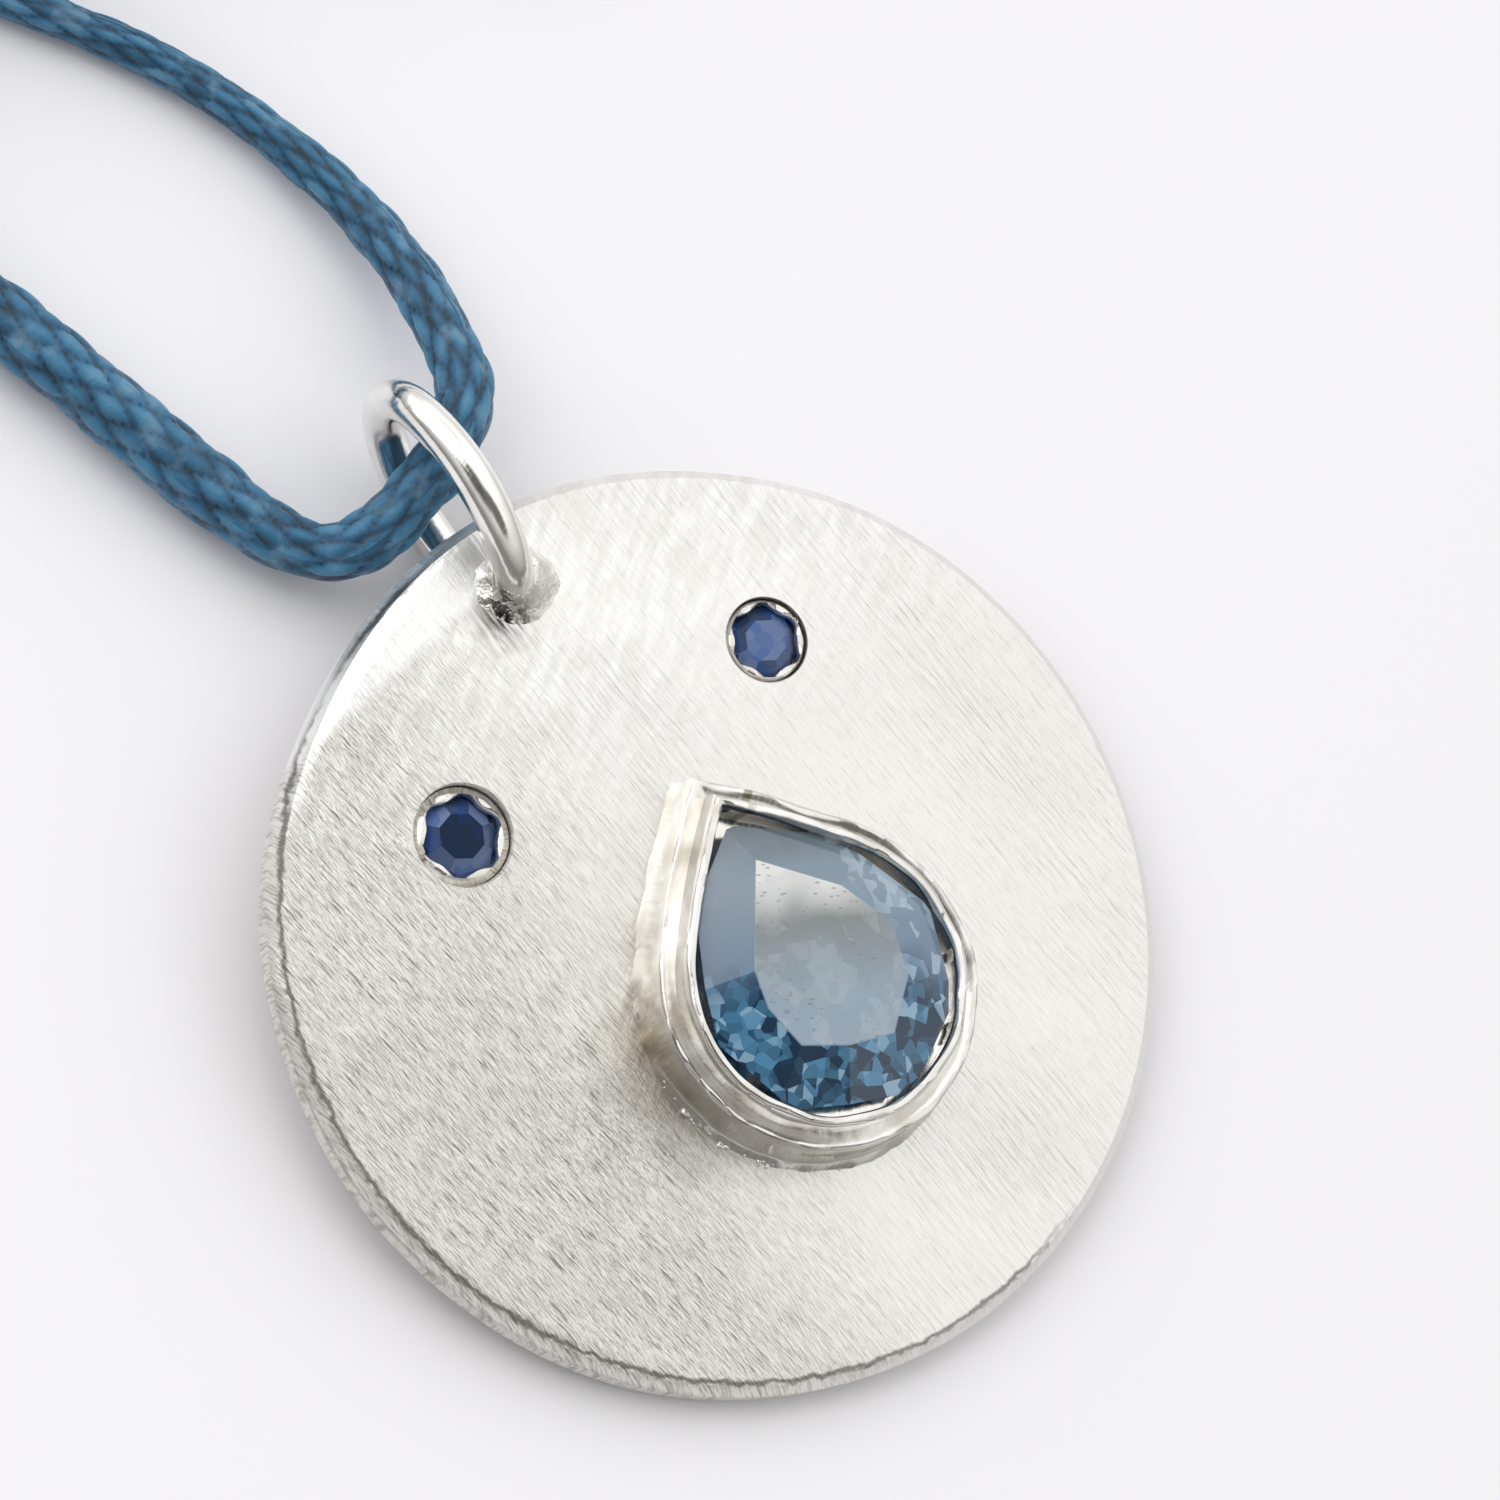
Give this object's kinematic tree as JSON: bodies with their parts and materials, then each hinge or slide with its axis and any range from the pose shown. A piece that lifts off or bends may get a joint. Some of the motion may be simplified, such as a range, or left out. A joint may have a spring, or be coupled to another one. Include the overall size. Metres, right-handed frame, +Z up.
{
  "type": "pendant necklace",
  "caption": "Hand-finished silver disc pendant with a pear stone and two small round stones, hung by an oval bail ring on a braided cord with a clasp.",
  "frame": {"origin": "on the table under the middle of the pendant's box, cord left out", "axes": "+Z up from the table, +Y along the pendant towards its bail ring, +X to the pendant's right as it is seen from the front"},
  "size_m": [0.0342, 0.0785, 0.0074],
  "materials": {
    "matt_silver": "brushed matt silver, filed edge",
    "bright_silver": "hand polished silver",
    "solder": "dull silver solder",
    "pale_blue_stone": "cut and polished",
    "dark_blue_stone": "cut and polished",
    "blue_cord": "waxed braid",
    "spring_steel": "drawn wire"
  },
  "bodies": {
    "cord": {"neck_cord": "blue_cord", "cord_coil": "blue_cord", "cord_tail_left": "blue_cord", "cord_tail_right": "blue_cord", "end_cap_left": "bright_silver", "end_cap_right": "bright_silver"},
    "pendant": {"disc": "matt_silver", "bezel_step": "bright_silver", "bezel_collar": "bright_silver", "bezel_bearer": "bright_silver", "pear_stone": "pale_blue_stone", "left_collet": "bright_silver", "right_collet": "bright_silver", "left_sapphire": "dark_blue_stone", "right_sapphire": "dark_blue_stone", "bail_ring": "bright_silver", "bail_solder": "solder"},
    "jump_ring": {"clasp_jump_ring": "bright_silver"},
    "clasp": {"clasp_body": "bright_silver", "clasp_pin": "bright_silver", "clasp_spring": "spring_steel"},
    "lever": {"clasp_lever": "bright_silver"},
    "catch_ring": {"catch_ring": "bright_silver"}
  },
  "joints": [
    {"name": "pendant_swing", "type": "hinge", "parent": "cord", "child": "pendant", "pos_m": [0, 0.01334, 0.0029], "axis": [-1, 0, 0], "range_deg": [0, 120]},
    {"name": "jump_ring_tilt", "type": "hinge", "parent": "cord", "child": "jump_ring", "pos_m": [0.0155, 0.03899, 0.00145], "axis": [-1, 0, 0], "range_deg": [0, 25]},
    {"name": "clasp_tilt", "type": "hinge", "parent": "jump_ring", "child": "clasp", "pos_m": [0.0155, 0.03839, 0.00212], "axis": [-1, 0, 0], "range_deg": [0, 40]},
    {"name": "lever_open", "type": "hinge", "parent": "clasp", "child": "lever", "pos_m": [0.0148, 0.03375, 0.001], "axis": [0, 0, 1], "range_deg": [0, 30], "stiffness_Nm_per_rad": 0.0005},
    {"name": "catch_ring_tilt", "type": "hinge", "parent": "cord", "child": "catch_ring", "pos_m": [0.0105, 0.0348, 0.00145], "axis": [-1, 0, 0], "range_deg": [0, 20]}
  ]
}
